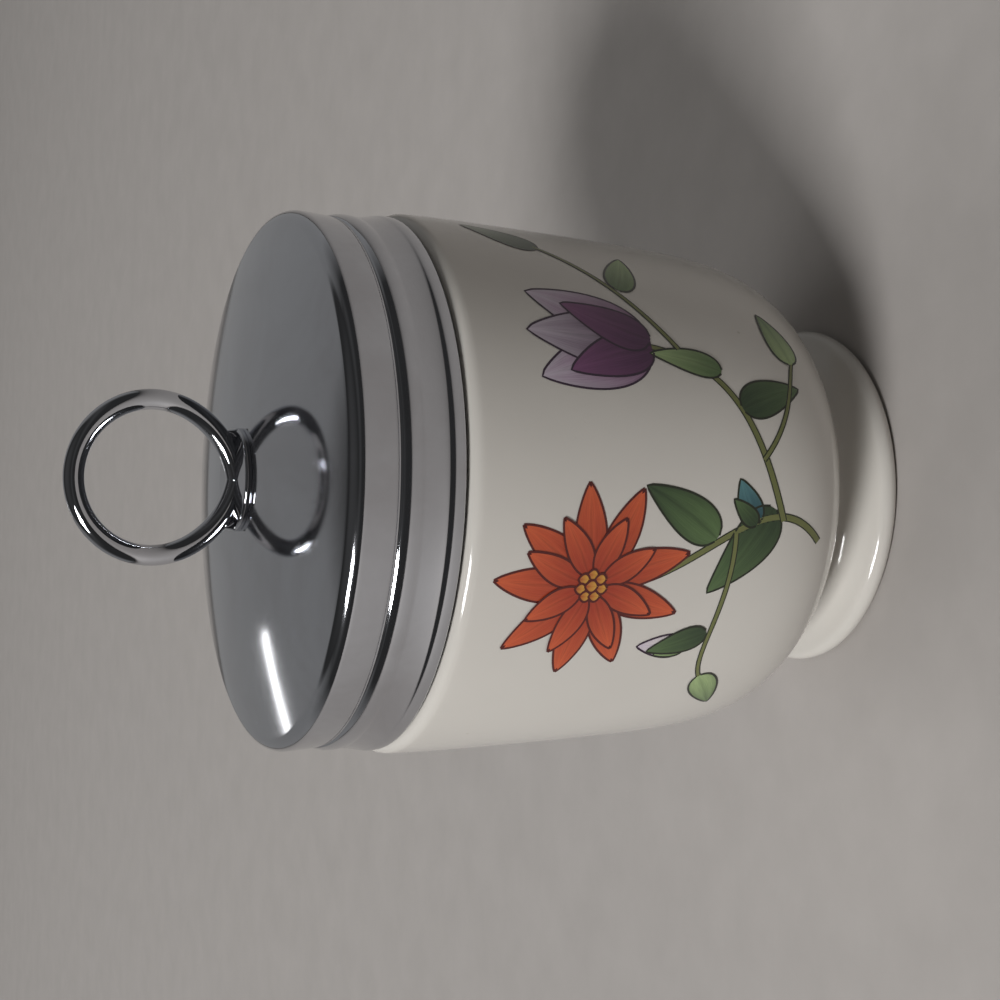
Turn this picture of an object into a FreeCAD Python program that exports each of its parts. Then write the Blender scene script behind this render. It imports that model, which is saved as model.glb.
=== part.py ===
import FreeCAD, Part
import math
import os

# Egg coddler: a porcelain cup with a screw lid of plated metal.
# Millimetres, +Z up, origin at the centre of the foot's standing face.

# Foot and waist of the cup
FOOT_RADIUS = 21.4
FOOT_EDGE_ROUND = 1.4
FOOT_EDGE_SWEEP_DEGREES = 60.0
FOOT_FLARE_HEIGHT = 3.4
FOOT_FLARE_REACH = 1.6
WAIST_HOLLOW_HEIGHT = 5.0
FOOT_RING_WIDTH = 2.4
RECESS_SLOPE = 4.1
RECESS_DEPTH = 4.6
RECESS_TURN = 1.0
WAIST_RADIUS = 16.8
WAIST_HEIGHT = 6.3

# Outside of the bowl
BELLY_RADIUS = 30.1
BELLY_HEIGHT = 26.6
BELLY_REACH_OUT = 10.4
BELLY_REACH_UP = 4.2
BELLY_TURN = 10.5
BELLY_TURN_ABOVE = 5.2
WALL_TAPER_DEGREES = 5.9
SHOULDER_RADIUS = 32.0
SHOULDER_TOP = 60.5
SHOULDER_ROUND = 1.6
WALL_STRAIGHT = 6.4

# Inside of the cup
BELLY_WALL = 2.9
BORE_WIDEST_ABOVE_BELLY = 7.4
BORE_EASE_BELOW_NECK = 10.5
BORE_EASE_ABOVE_WIDEST = 12.0
FLOOR_THICK = 6.6
INNER_FLOOR_FLAT = 8.0
INNER_TURN_DOWN = 17.0
INNER_TURN_IN = 12.0

# Lid shell, pressed from sheet. Depths are measured in from the rim, heights up from the edge.
SHEET = 0.45
LID_SETBACK = 0.55
LID_EDGE_GAP = 0.35
LID_RIM_ROUND = 1.7
RIM_BELOW_FLANGE = 0.9
DOME_RISE = 3.45
DOME_FLAT_MARGIN = 0.6
UPPER_BAND_DEPTH = 0.15
CREASE_UP = 7.1
CREASE_DEPTH = 0.5
CREASE_HALF_WIDTH = 0.25
CREASE_EDGE_DEPTH = 0.35
BEAD_UP = 6.0
BEAD_DEPTH = 0.08
BEAD_FOOT_UP = 4.45
BEAD_FOOT_DEPTH = 0.21
LOWER_BAND_UP = 3.05
LOWER_BAND_DEPTH = 0.18
LIP_ROOT_UP = 1.6
LIP_BULGE_UP = 0.65
LIP_BULGE_OUT = 0.15
LIP_EDGE_OUT = 0.07

# Threaded liner inside the lid
LINER_SHEET = 0.45
LINER_CORNER_ROUND = 0.8
LINER_FLANGE_THICK = 0.4
LINER_FLANGE_OVERHANG = 0.5
LINER_BELOW_RIDGE = 0.25
LINER_RIDGE_TURNS = 1.25
LINER_RIDGE_START_DEGREES = 90.0
LINER_RIDGE_ROOT_HALF = 0.7
LINER_RIDGE_CREST_HALF = 0.35
LINER_RIDGE_SINK = 0.12
LINER_RIDGE_CLEARANCE = 0.55

# Neck and its thread
NECK_HEIGHT = 11.7
NECK_WALL = 2.85
NECK_ROOT_ROUND = 0.8
NECK_LIP_ROUND = 0.8
THREAD_CLEARANCE = 0.35
THREAD_DEPTH = 0.95
THREAD_PITCH = 4.0
THREAD_START_UP = 3.1
THREAD_TURNS = 1.5
THREAD_ROOT_HALF = 0.95
THREAD_CREST_HALF = 0.45
THREAD_FADE_DEGREES = 45.0
THREAD_SINK = 0.15
THREAD_END_DEPTH = 0.02
SECTION_STEP_DEGREES = 15.0

# Ring, its base, and the riveted tenon
RING_BEND_RADIUS = 8.9
RING_LOWER_BEND_RADIUS = 10.9
RING_CHANGE_DEGREES = 25.0
WIRE_RADIUS = 1.2
WIRE_SINK = 0.55
BASE_RADIUS = 6.0
BASE_THICK = 0.75
BASE_UNDER_WIRE = 0.25
BASE_EDGE_ROUND = 0.3
SADDLE_INNER = 3.0
SADDLE_SETBACK = 0.1
SADDLE_HEIGHT = 1.1
SADDLE_HALF_DEPTH = 0.8
TENON_RADIUS = 1.5
WASHER_RADIUS = 4.5
WASHER_THICK = 0.8
WASHER_BORE_CLEARANCE = 0.2
RIVET_HEAD_RADIUS = 2.6
RIVET_HEAD_THICK = 0.65

# What follows from these sizes, from the lid's rim inward and from the cup's ledge upward
LID_RADIUS = SHOULDER_RADIUS - LID_SETBACK
CREASE_RADIUS = LID_RADIUS - CREASE_DEPTH
LINER_OUTER = CREASE_RADIUS - SHEET
LINER_INNER = LINER_OUTER - LINER_SHEET
THREAD_CREST = LINER_INNER - THREAD_CLEARANCE
NECK_RADIUS = THREAD_CREST - THREAD_DEPTH
LINER_RIDGE_CREST = NECK_RADIUS + LINER_RIDGE_CLEARANCE
NECK_BORE = NECK_RADIUS - NECK_WALL
LINER_FLANGE_BORE = NECK_BORE - LINER_FLANGE_OVERHANG
BORE_WIDEST = BELLY_RADIUS - BELLY_WALL
BORE_WIDEST_HEIGHT = BELLY_HEIGHT + BORE_WIDEST_ABOVE_BELLY
INNER_FLOOR = RECESS_DEPTH + FLOOR_THICK
FOOT_RING_INNER = FOOT_RADIUS - FOOT_EDGE_ROUND - FOOT_RING_WIDTH
RECESS_ROOF_RADIUS = FOOT_RING_INNER - RECESS_SLOPE
NECK_TOP = SHOULDER_TOP + NECK_HEIGHT
FLANGE_TOP = NECK_TOP + LINER_FLANGE_THICK
LID_EDGE = SHOULDER_TOP + LID_EDGE_GAP
LID_RIM_HEIGHT = FLANGE_TOP - RIM_BELOW_FLANGE
LID_FLAT_RADIUS = BASE_RADIUS + DOME_FLAT_MARGIN
THREAD_START_HEIGHT = SHOULDER_TOP + THREAD_START_UP
LINER_RIDGE_DROP = THREAD_ROOT_HALF + LINER_RIDGE_ROOT_HALF
LINER_RIDGE_START = THREAD_START_HEIGHT + THREAD_PITCH * LINER_RIDGE_START_DEGREES / 360 - LINER_RIDGE_DROP
LINER_FOOT = LINER_RIDGE_START - LINER_RIDGE_ROOT_HALF - LINER_BELOW_RIDGE

UP = FreeCAD.Vector(0, 0, 1)
ORIGIN = FreeCAD.Vector(0, 0, 0)


def at(radius, height):
    """A point of a section, drawn in the XZ plane."""
    return FreeCAD.Vector(radius, 0, height)


def line(start, end):
    return Part.makeLine(at(*start), at(*end))


def arc(start, middle, end):
    return Part.Arc(at(*start), at(*middle), at(*end)).toShape()


def curve(*poles):
    """A Bezier edge through its first and last pole."""
    bezier = Part.BezierCurve()
    bezier.setPoles([at(*pole) for pole in poles])
    return bezier.toShape()


def arc_round(centre, radius, start_degrees, end_degrees):
    """An arc of a circle given by its centre, radius and two angles."""
    points = []
    for share in (0.0, 0.5, 1.0):
        angle = math.radians(start_degrees + share * (end_degrees - start_degrees))
        points.append((centre[0] + radius * math.cos(angle), centre[1] + radius * math.sin(angle)))
    return arc(*points)


def turned(edges):
    """The solid made by turning a closed section round the Z axis."""
    wire = Part.Wire(Part.sortEdges(edges)[0])
    return Part.Face(wire).revolve(ORIGIN, UP, 360)


def cup_outside():
    """The section's outside, from the foot's ring up to the middle of the lip."""
    edge_centre = (FOOT_RADIUS - FOOT_EDGE_ROUND, FOOT_EDGE_ROUND)
    edge_top_angle = math.radians(FOOT_EDGE_SWEEP_DEGREES)
    flare_start = (
        edge_centre[0] + FOOT_EDGE_ROUND * math.cos(edge_top_angle),
        edge_centre[1] + FOOT_EDGE_ROUND * math.sin(edge_top_angle),
    )
    flare_hollow = (WAIST_RADIUS + FOOT_FLARE_REACH, FOOT_FLARE_HEIGHT)
    waist = (WAIST_RADIUS, WAIST_HEIGHT)
    taper = math.radians(WALL_TAPER_DEGREES)
    belly = (BELLY_RADIUS, BELLY_HEIGHT)
    under_belly = (WAIST_RADIUS + BELLY_REACH_OUT, WAIST_HEIGHT + BELLY_REACH_UP)
    below_belly = (
        BELLY_RADIUS - BELLY_TURN * math.sin(taper),
        BELLY_HEIGHT - BELLY_TURN * math.cos(taper),
    )
    above_belly = (
        BELLY_RADIUS + BELLY_TURN_ABOVE * math.sin(taper),
        BELLY_HEIGHT + BELLY_TURN_ABOVE * math.cos(taper),
    )
    wall_top = (SHOULDER_RADIUS, SHOULDER_TOP - SHOULDER_ROUND)
    below_wall_top = (SHOULDER_RADIUS, SHOULDER_TOP - SHOULDER_ROUND - WALL_STRAIGHT)
    shoulder_centre = (SHOULDER_RADIUS - SHOULDER_ROUND, wall_top[1])
    root_centre = (NECK_RADIUS + NECK_ROOT_ROUND, SHOULDER_TOP + NECK_ROOT_ROUND)
    lip_centre = (NECK_RADIUS - NECK_LIP_ROUND, NECK_TOP - NECK_LIP_ROUND)
    return [
        arc_round(edge_centre, FOOT_EDGE_ROUND, -90, FOOT_EDGE_SWEEP_DEGREES),
        curve(flare_start, flare_hollow, (WAIST_RADIUS, WAIST_HOLLOW_HEIGHT), waist),
        curve(waist, under_belly, below_belly, belly),
        curve(belly, above_belly, below_wall_top, wall_top),
        arc_round(shoulder_centre, SHOULDER_ROUND, 0, 90),
        line((shoulder_centre[0], SHOULDER_TOP), (root_centre[0], SHOULDER_TOP)),
        arc_round(root_centre, NECK_ROOT_ROUND, 270, 180),
        line((NECK_RADIUS, root_centre[1]), (NECK_RADIUS, lip_centre[1])),
        arc_round(lip_centre, NECK_LIP_ROUND, 0, 90),
    ]


def cup_inside():
    """The section's inside: lip, bore, floor, then the recess under the foot."""
    outer_lip = NECK_RADIUS - NECK_LIP_ROUND
    inner_lip_centre = (NECK_BORE + NECK_LIP_ROUND, NECK_TOP - NECK_LIP_ROUND)
    bore_top = (NECK_BORE, inner_lip_centre[1])
    bore_foot = (NECK_BORE, SHOULDER_TOP)
    widest = (BORE_WIDEST, BORE_WIDEST_HEIGHT)
    floor_edge = (INNER_FLOOR_FLAT, INNER_FLOOR)
    recess_edge = (RECESS_ROOF_RADIUS, RECESS_DEPTH)
    return [
        line((outer_lip, NECK_TOP), (inner_lip_centre[0], NECK_TOP)),
        arc_round(inner_lip_centre, NECK_LIP_ROUND, 90, 180),
        line(bore_top, bore_foot),
        curve(
            bore_foot,
            (NECK_BORE, SHOULDER_TOP - BORE_EASE_BELOW_NECK),
            (BORE_WIDEST, BORE_WIDEST_HEIGHT + BORE_EASE_ABOVE_WIDEST),
            widest,
        ),
        curve(
            widest,
            (BORE_WIDEST, BORE_WIDEST_HEIGHT - INNER_TURN_DOWN),
            (INNER_FLOOR_FLAT + INNER_TURN_IN, INNER_FLOOR),
            floor_edge,
        ),
        line(floor_edge, (0, INNER_FLOOR)),
        line((0, INNER_FLOOR), (0, RECESS_DEPTH)),
        line((0, RECESS_DEPTH), recess_edge),
        curve(recess_edge, (FOOT_RING_INNER - RECESS_TURN, RECESS_DEPTH), (FOOT_RING_INNER, 0)),
        line((FOOT_RING_INNER, 0), (FOOT_RADIUS - FOOT_EDGE_ROUND, 0)),
    ]


def winding_ridge(root_radius, crest_radius, root_half, crest_half, start_height, start_degrees, turns):
    """A raised ridge along a right-hand helix that fades into its wall at both ends."""
    length = turns * 360.0
    steps = int(round(length / SECTION_STEP_DEGREES))
    sections = []
    for index in range(steps + 1):
        swept = length * index / steps
        fade = min(1.0, swept / THREAD_FADE_DEGREES, (length - swept) / THREAD_FADE_DEGREES)
        rise = math.sin(0.5 * math.pi * fade)
        depth = max(rise, THREAD_END_DEPTH)
        crest = root_radius + (crest_radius - root_radius) * depth
        turn = math.radians(start_degrees + swept)
        middle = start_height + THREAD_PITCH * swept / 360.0
        corners = []
        for radius, offset in (
            (root_radius, -root_half),
            (crest, -crest_half),
            (crest, crest_half),
            (root_radius, root_half),
        ):
            corners.append(FreeCAD.Vector(radius * math.cos(turn), radius * math.sin(turn), middle + offset))
        sections.append(Part.makePolygon(corners + corners[:1]))
    return Part.makeLoft(sections, True, False)


def make_cup():
    """Slip-cast porcelain: bowl, neck with its thread, waist and foot in one piece."""
    body = turned(cup_outside() + cup_inside())
    thread = winding_ridge(
        NECK_RADIUS - THREAD_SINK,
        THREAD_CREST,
        THREAD_ROOT_HALF,
        THREAD_CREST_HALF,
        THREAD_START_HEIGHT,
        0.0,
        THREAD_TURNS,
    )
    return body.fuse(thread).removeSplitter()


def lid_outline(inset):
    """The lid's section from the flat top to the lip's edge, inset by a depth of metal."""
    rim_centre = (LID_RADIUS - LID_RIM_ROUND, LID_RIM_HEIGHT)
    reach = rim_centre[0]
    dome_radius = (reach**2 + DOME_RISE**2) / (2 * DOME_RISE) + LID_RIM_ROUND
    dome_centre_height = LID_RIM_HEIGHT - math.sqrt((dome_radius - LID_RIM_ROUND) ** 2 - reach**2)
    lean = math.degrees(math.atan2(LID_RIM_HEIGHT - dome_centre_height, reach))
    flat_lean = math.degrees(math.acos(LID_FLAT_RADIUS / dome_radius))
    dome = arc_round((0, dome_centre_height), dome_radius - inset, flat_lean, lean)
    dome_start = (
        (dome_radius - inset) * math.cos(math.radians(flat_lean)),
        dome_centre_height + (dome_radius - inset) * math.sin(math.radians(flat_lean)),
    )
    top = line((TENON_RADIUS, dome_start[1]), dome_start)
    rim = arc_round(rim_centre, LID_RIM_ROUND - inset, lean, 0)

    def below_rim(depth, up):
        return (LID_RADIUS - depth - inset, LID_EDGE + up)

    rim_foot = (LID_RADIUS - inset, LID_RIM_HEIGHT)
    crease_top = below_rim(CREASE_EDGE_DEPTH, CREASE_UP + CREASE_HALF_WIDTH)
    crease_foot = below_rim(CREASE_EDGE_DEPTH, CREASE_UP - CREASE_HALF_WIDTH)
    upper_band = (LID_RADIUS - UPPER_BAND_DEPTH - inset, 0.5 * (rim_foot[1] + crease_top[1]))
    bead_foot = below_rim(BEAD_FOOT_DEPTH, BEAD_FOOT_UP)
    lip_root = below_rim(0, LIP_ROOT_UP)
    bands = [
        arc(rim_foot, upper_band, crease_top),
        arc(crease_top, below_rim(CREASE_DEPTH, CREASE_UP), crease_foot),
        arc(crease_foot, below_rim(BEAD_DEPTH, BEAD_UP), bead_foot),
        arc(bead_foot, below_rim(LOWER_BAND_DEPTH, LOWER_BAND_UP), lip_root),
        arc(lip_root, below_rim(-LIP_BULGE_OUT, LIP_BULGE_UP), below_rim(-LIP_EDGE_OUT, 0)),
    ]
    return [top, dome, rim] + bands, dome_start[1]


def make_lid_cap():
    """Outer shell of the lid: dome, rounded rim, a band, a crease, a bead, a flared band, curled lip."""
    outer, outer_top = lid_outline(0.0)
    inner, inner_top = lid_outline(SHEET)
    lip_edge = LID_RADIUS + LIP_EDGE_OUT
    ends = [
        line((TENON_RADIUS, outer_top), (TENON_RADIUS, inner_top)),
        line((lip_edge, LID_EDGE), (lip_edge - SHEET, LID_EDGE)),
    ]
    return turned(outer + inner + ends)


def lid_top_height():
    """Height of the flat in the middle of the dome."""
    return lid_outline(0.0)[1]


def make_thread_liner():
    """Inner ring of the lid: a threaded wall, and a flange that bears on the cup's lip."""
    corner_centre = (LINER_OUTER - LINER_CORNER_ROUND, FLANGE_TOP - LINER_CORNER_ROUND)
    section = [
        line((LINER_OUTER, LINER_FOOT), (LINER_OUTER, corner_centre[1])),
        arc_round(corner_centre, LINER_CORNER_ROUND, 0, 90),
        line((corner_centre[0], FLANGE_TOP), (LINER_FLANGE_BORE, FLANGE_TOP)),
        line((LINER_FLANGE_BORE, FLANGE_TOP), (LINER_FLANGE_BORE, NECK_TOP)),
        line((LINER_FLANGE_BORE, NECK_TOP), (LINER_INNER, NECK_TOP)),
        line((LINER_INNER, NECK_TOP), (LINER_INNER, LINER_FOOT)),
        line((LINER_INNER, LINER_FOOT), (LINER_OUTER, LINER_FOOT)),
    ]
    ring = turned(section)
    ridge = winding_ridge(
        LINER_INNER + LINER_RIDGE_SINK,
        LINER_RIDGE_CREST,
        LINER_RIDGE_ROOT_HALF,
        LINER_RIDGE_CREST_HALF,
        LINER_RIDGE_START,
        LINER_RIDGE_START_DEGREES,
        LINER_RIDGE_TURNS,
    )
    return ring.fuse(ridge).removeSplitter()


def ring_centre_height():
    """Height of the ring's centre, with the middle of its V sunk under the base's top."""
    extra = RING_LOWER_BEND_RADIUS - RING_BEND_RADIUS
    change = math.radians(RING_CHANGE_DEGREES)
    depth = math.sqrt(RING_LOWER_BEND_RADIUS**2 - (extra * math.cos(change)) ** 2)
    v_middle = lid_top_height() + BASE_THICK - WIRE_SINK
    return v_middle + depth - extra * math.sin(change)


def make_handle_ring():
    """Round wire bent to a ring. Its lower arcs have a larger bend and meet in a shallow V,
    which is ground level where it sits in the base."""
    height = ring_centre_height()
    centre = at(0, height)
    change = math.radians(RING_CHANGE_DEGREES)
    outward = FreeCAD.Vector(math.cos(change), 0, -math.sin(change))
    along = FreeCAD.Vector(-math.sin(change), 0, -math.cos(change))
    change_point = centre + outward * RING_BEND_RADIUS
    lower_centre = change_point - outward * RING_LOWER_BEND_RADIUS
    profile = Part.Face(Part.Wire(Part.makeCircle(WIRE_RADIUS, change_point, along)))
    upper = profile.revolve(centre, FreeCAD.Vector(0, -1, 0), 180 + 2 * RING_CHANGE_DEGREES)
    lower = profile.revolve(lower_centre, FreeCAD.Vector(0, 1, 0), 90)
    seat = lid_top_height() + BASE_UNDER_WIRE
    reach = 2 * RING_BEND_RADIUS
    right_side = Part.makeBox(reach, reach, reach, FreeCAD.Vector(0, -0.5 * reach, seat))
    right_end = lower.common(right_side)
    left_end = right_end.mirror(centre, FreeCAD.Vector(1, 0, 0))
    return upper.fuse([right_end, left_end]).removeSplitter()


def make_ring_base(ring):
    """Disc brazed to the ring, with a tenon through the dome that is peened over below."""
    foot = lid_top_height()
    top = foot + BASE_THICK
    under_shell = foot - SHEET
    head_top = under_shell - WASHER_THICK
    head_foot = head_top - RIVET_HEAD_THICK
    edge_centre = (BASE_RADIUS - BASE_EDGE_ROUND, top - BASE_EDGE_ROUND)
    section = [
        line((0, top), (edge_centre[0], top)),
        arc_round(edge_centre, BASE_EDGE_ROUND, 90, 0),
        line((BASE_RADIUS, edge_centre[1]), (BASE_RADIUS, foot)),
        line((BASE_RADIUS, foot), (TENON_RADIUS, foot)),
        line((TENON_RADIUS, foot), (TENON_RADIUS, head_top)),
        line((TENON_RADIUS, head_top), (RIVET_HEAD_RADIUS, head_top)),
        curve((RIVET_HEAD_RADIUS, head_top), (RIVET_HEAD_RADIUS, head_foot), (0, head_foot)),
        line((0, head_foot), (0, top)),
    ]
    disc = turned(section)
    saddle_outer = BASE_RADIUS - SADDLE_SETBACK
    for side in (SADDLE_INNER, -saddle_outer):
        block = Part.makeBox(
            saddle_outer - SADDLE_INNER,
            2 * SADDLE_HALF_DEPTH,
            SADDLE_HEIGHT + BASE_EDGE_ROUND,
            FreeCAD.Vector(side, -SADDLE_HALF_DEPTH, top - BASE_EDGE_ROUND),
        )
        disc = disc.fuse(block)
    return disc.cut(ring).removeSplitter()


def make_rivet_washer():
    """Washer between the underside of the dome and the peened end of the tenon."""
    top = lid_top_height() - SHEET
    outer = Part.makeCylinder(WASHER_RADIUS, WASHER_THICK, at(0, top - WASHER_THICK))
    bore = Part.makeCylinder(TENON_RADIUS + WASHER_BORE_CLEARANCE, WASHER_THICK, at(0, top - WASHER_THICK))
    return outer.cut(bore)


def save(node, shape):
    solid = shape.Solids[0]
    solid.exportStep("parts/" + node + ".step")
    print(node, len(shape.Solids), solid.isValid(), round(solid.Volume, 2), solid.BoundBox)


os.makedirs("parts", exist_ok=True)
handle_ring = make_handle_ring()
save("cup", make_cup())
save("lid_cap", make_lid_cap())
save("thread_liner", make_thread_liner())
save("handle_ring", handle_ring)
save("ring_base", make_ring_base(handle_ring))
save("rivet_washer", make_rivet_washer())
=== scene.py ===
import math

import bpy
import numpy as np
from mathutils import Matrix, Vector


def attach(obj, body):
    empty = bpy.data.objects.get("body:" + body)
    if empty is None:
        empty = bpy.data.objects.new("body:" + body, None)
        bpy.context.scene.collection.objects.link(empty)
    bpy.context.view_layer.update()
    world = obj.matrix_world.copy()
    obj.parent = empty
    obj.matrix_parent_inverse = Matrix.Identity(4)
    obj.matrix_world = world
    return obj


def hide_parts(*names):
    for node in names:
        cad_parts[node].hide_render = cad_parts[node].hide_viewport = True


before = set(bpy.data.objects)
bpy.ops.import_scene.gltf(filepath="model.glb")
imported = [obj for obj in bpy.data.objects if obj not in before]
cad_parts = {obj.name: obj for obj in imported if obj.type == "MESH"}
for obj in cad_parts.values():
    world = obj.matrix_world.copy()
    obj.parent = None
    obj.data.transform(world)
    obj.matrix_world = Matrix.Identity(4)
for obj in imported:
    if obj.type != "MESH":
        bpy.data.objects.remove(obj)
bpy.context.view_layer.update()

# Porcelain cup
# Slip-cast in one piece and glazed all over but for the ring it stands on: a bowl with a slight
# taper, a low waist, a flared foot with a hollow underneath, and a neck with a raised thread.
# Sections are drawn as (radius, height) in millimetres and turned round the Z axis.

MM = 0.001
FOOT_RADIUS = 21.4
FOOT_EDGE = 1.4
FOOT_RING_INNER = 17.6
FOOT_SOFT = 0.15
FOOT_POLE = (18.4, 3.4)
RECESS_ROOF = (13.5, 4.6)
RECESS_CORNER = 16.6
WAIST = (16.8, 6.3)
WAIST_UPRIGHT_FROM = 5.0
BOWL_POLE = (27.2, 10.5)
BOWL_PULL = 10.5
BELLY = (30.1, 26.6)
TAPER = math.radians(5.9)
WALL_PULL = 5.2
WALL_UPRIGHT_FROM = 52.5
SHOULDER_RADIUS = 32.0
SHOULDER_TOP = 60.5
SHOULDER_ROUND = 1.6
NECK_RADIUS = 28.75
NECK_TOP = 72.2
NECK_ROUND = 0.8
NECK_BORE = 25.9
BORE_OPENS_BELOW = 50.0
BORE_WIDE_BELOW = 46.0
BORE_WIDEST = (27.2, 34.0)
BORE_CLOSES_BELOW = 17.0
FLOOR_EDGE = 20.0
FLOOR = (8.0, 11.2)
PITCH = 4.0
NECK_THREAD_ROOT_HALF = 0.95
NECK_THREAD_CREST_HALF = 0.4
NECK_THREAD_HEIGHT = 0.95
NECK_THREAD_START = 63.6
NECK_THREAD_TURNS = 1.5
THREAD_FADE = 0.125
CUP_SEGMENTS = 288


def straight(start, end, count):
    """Points of a line: P(t) = start + t (end - start), t from 0 to 1."""
    t = np.linspace(0, 1, count)[:, None]
    return np.array(start) + t * (np.array(end) - np.array(start))


def bezier(poles, count):
    """Points of a Bezier curve: P(t) = sum over k of C(n, k) (1 - t)^(n - k) t^k pole_k."""
    degree = len(poles) - 1
    t = np.linspace(0, 1, count)[:, None]
    points = np.zeros((count, len(poles[0])))
    for k, pole in enumerate(poles):
        points += math.comb(degree, k) * (1 - t) ** (degree - k) * t**k * np.array(pole)
    return points


def arc(centre, radius, start_degrees, end_degrees, count):
    """Points of an arc: P(a) = centre + radius (cos a, sin a)."""
    a = np.radians(np.linspace(start_degrees, end_degrees, count))
    return np.column_stack([centre[0] + radius * np.cos(a), centre[1] + radius * np.sin(a)])


def chain(*runs):
    """One line of points from several, each of which starts where the last one ended."""
    points = np.vstack(runs)
    step = np.hypot(*np.diff(points, axis=0).T)
    return points[np.concatenate([[True], step > 1e-6])]


def mesh_piece(name, points, faces):
    """A smooth-shaded piece from points in millimetres."""
    mesh = bpy.data.meshes.new(name)
    mesh.from_pydata((np.asarray(points) * MM).tolist(), [], faces)
    mesh.shade_smooth()
    piece = bpy.data.objects.new(name, mesh)
    bpy.context.scene.collection.objects.link(piece)
    return piece


def grid_faces(index):
    """Quads between the neighbours of a grid of point numbers, all wound the same way."""
    corners = [index[:-1, :-1], index[1:, :-1], index[1:, 1:], index[:-1, 1:]]
    return np.stack(corners, -1).reshape(-1, 4)


def turned(name, section, segments, closed=False, swell=None):
    """Surface of revolution: P(i, j) = (r cos a, r sin a, z), a = 2 pi i / segments,
    with (r, z) the section's point j and r raised by swell(a, r, z). The section runs up the
    outside and down the inside. A closed one joins its ends, another ends on the axis."""
    a = np.arange(segments) * 2 * math.pi / segments
    inner = section if closed else section[1:-1]
    angle, radius = np.meshgrid(a, inner[:, 0], indexing="ij")
    height = np.broadcast_to(inner[:, 1], angle.shape)
    if swell is not None:
        radius = radius + swell(angle, radius, height)
    points = np.stack([radius * np.cos(angle), radius * np.sin(angle), height], -1).reshape(-1, 3)
    index = np.arange(len(points)).reshape(angle.shape)
    index = np.vstack([index, index[:1]])
    if closed:
        index = np.hstack([index, index[:, :1]])
    faces = grid_faces(index).tolist()
    if not closed:
        first_pole = np.full(segments, len(points))
        points = np.vstack([points, [0, 0, section[0][1]], [0, 0, section[-1][1]]])
        faces += np.stack([first_pole, index[1:, 0], index[:-1, 0]], -1).tolist()
        faces += np.stack([first_pole + 1, index[:-1, -1], index[1:, -1]], -1).tolist()
    return mesh_piece(name, points, faces)


def winding(root_half, crest_half, height, start_z, start_turn, turns, fade_turns):
    """Swell of a right-hand thread: a rounded ridge of the given height whose middle climbs one
    pitch a turn, z = start_z + pitch (turn - start_turn), and which fades at both ends."""
    def swell(angle, radius, z):
        best = np.zeros_like(z)
        first = angle / (2 * math.pi)
        for lap in range(-1, int(start_turn + turns) + 2):
            swept = first + lap - start_turn
            middle = start_z + PITCH * swept
            flank = (root_half - np.abs(z - middle)) / (root_half - crest_half)
            flank = np.clip(flank, 0, 1)
            flank = flank * flank * (3 - 2 * flank)
            ends = np.clip(np.minimum(swept, turns - swept) / fade_turns, 0, 1)
            best = np.maximum(best, flank * np.sin(0.5 * math.pi * ends))
        return best * height
    return swell


def along_taper(reach):
    """Point on the straight taper through the belly, that far up it (or down, if negative)."""
    return (BELLY[0] + reach * math.sin(TAPER), BELLY[1] + reach * math.cos(TAPER))


foot_centre = (FOOT_RADIUS - FOOT_EDGE, FOOT_EDGE)
shoulder_inner = SHOULDER_RADIUS - SHOULDER_ROUND
neck_root = NECK_RADIUS + NECK_ROUND
neck_inner = NECK_RADIUS - NECK_ROUND
lip_inner = NECK_BORE + NECK_ROUND
lip_level = NECK_TOP - NECK_ROUND
foot_flare = arc(foot_centre, FOOT_EDGE, -90, 60, 14)
wall_line = chain(
    bezier([WAIST, BOWL_POLE, along_taper(-BOWL_PULL), BELLY], 40),
    bezier(
        [
            BELLY,
            along_taper(WALL_PULL),
            (SHOULDER_RADIUS, WALL_UPRIGHT_FROM),
            (SHOULDER_RADIUS, SHOULDER_TOP - SHOULDER_ROUND),
        ],
        40,
    ),
)
cup_section = chain(
    straight((0, RECESS_ROOF[1]), RECESS_ROOF, 12),
    bezier([RECESS_ROOF, (RECESS_CORNER, RECESS_ROOF[1]), (FOOT_RING_INNER, FOOT_SOFT)], 10),
    arc((FOOT_RING_INNER + FOOT_SOFT, FOOT_SOFT), FOOT_SOFT, 180, 270, 5),
    straight((FOOT_RING_INNER + FOOT_SOFT, 0), (foot_centre[0], 0), 6),
    foot_flare,
    bezier([foot_flare[-1], FOOT_POLE, (WAIST[0], WAIST_UPRIGHT_FROM), WAIST], 16),
    wall_line,
    arc((shoulder_inner, SHOULDER_TOP - SHOULDER_ROUND), SHOULDER_ROUND, 0, 90, 14),
    straight((shoulder_inner, SHOULDER_TOP), (neck_root, SHOULDER_TOP), 5),
    arc((neck_root, SHOULDER_TOP + NECK_ROUND), NECK_ROUND, 270, 180, 8),
    straight((NECK_RADIUS, SHOULDER_TOP + NECK_ROUND), (NECK_RADIUS, lip_level), 76),
    arc((neck_inner, lip_level), NECK_ROUND, 0, 90, 8),
    straight((neck_inner, NECK_TOP), (lip_inner, NECK_TOP), 4),
    arc((lip_inner, lip_level), NECK_ROUND, 90, 180, 8),
    straight((NECK_BORE, lip_level), (NECK_BORE, SHOULDER_TOP), 6),
    bezier(
        [
            (NECK_BORE, SHOULDER_TOP),
            (NECK_BORE, BORE_OPENS_BELOW),
            (BORE_WIDEST[0], BORE_WIDE_BELOW),
            BORE_WIDEST,
        ],
        16,
    ),
    bezier([BORE_WIDEST, (BORE_WIDEST[0], BORE_CLOSES_BELOW), (FLOOR_EDGE, FLOOR[1]), FLOOR], 30),
    straight(FLOOR, (0, FLOOR[1]), 6),
)
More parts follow.
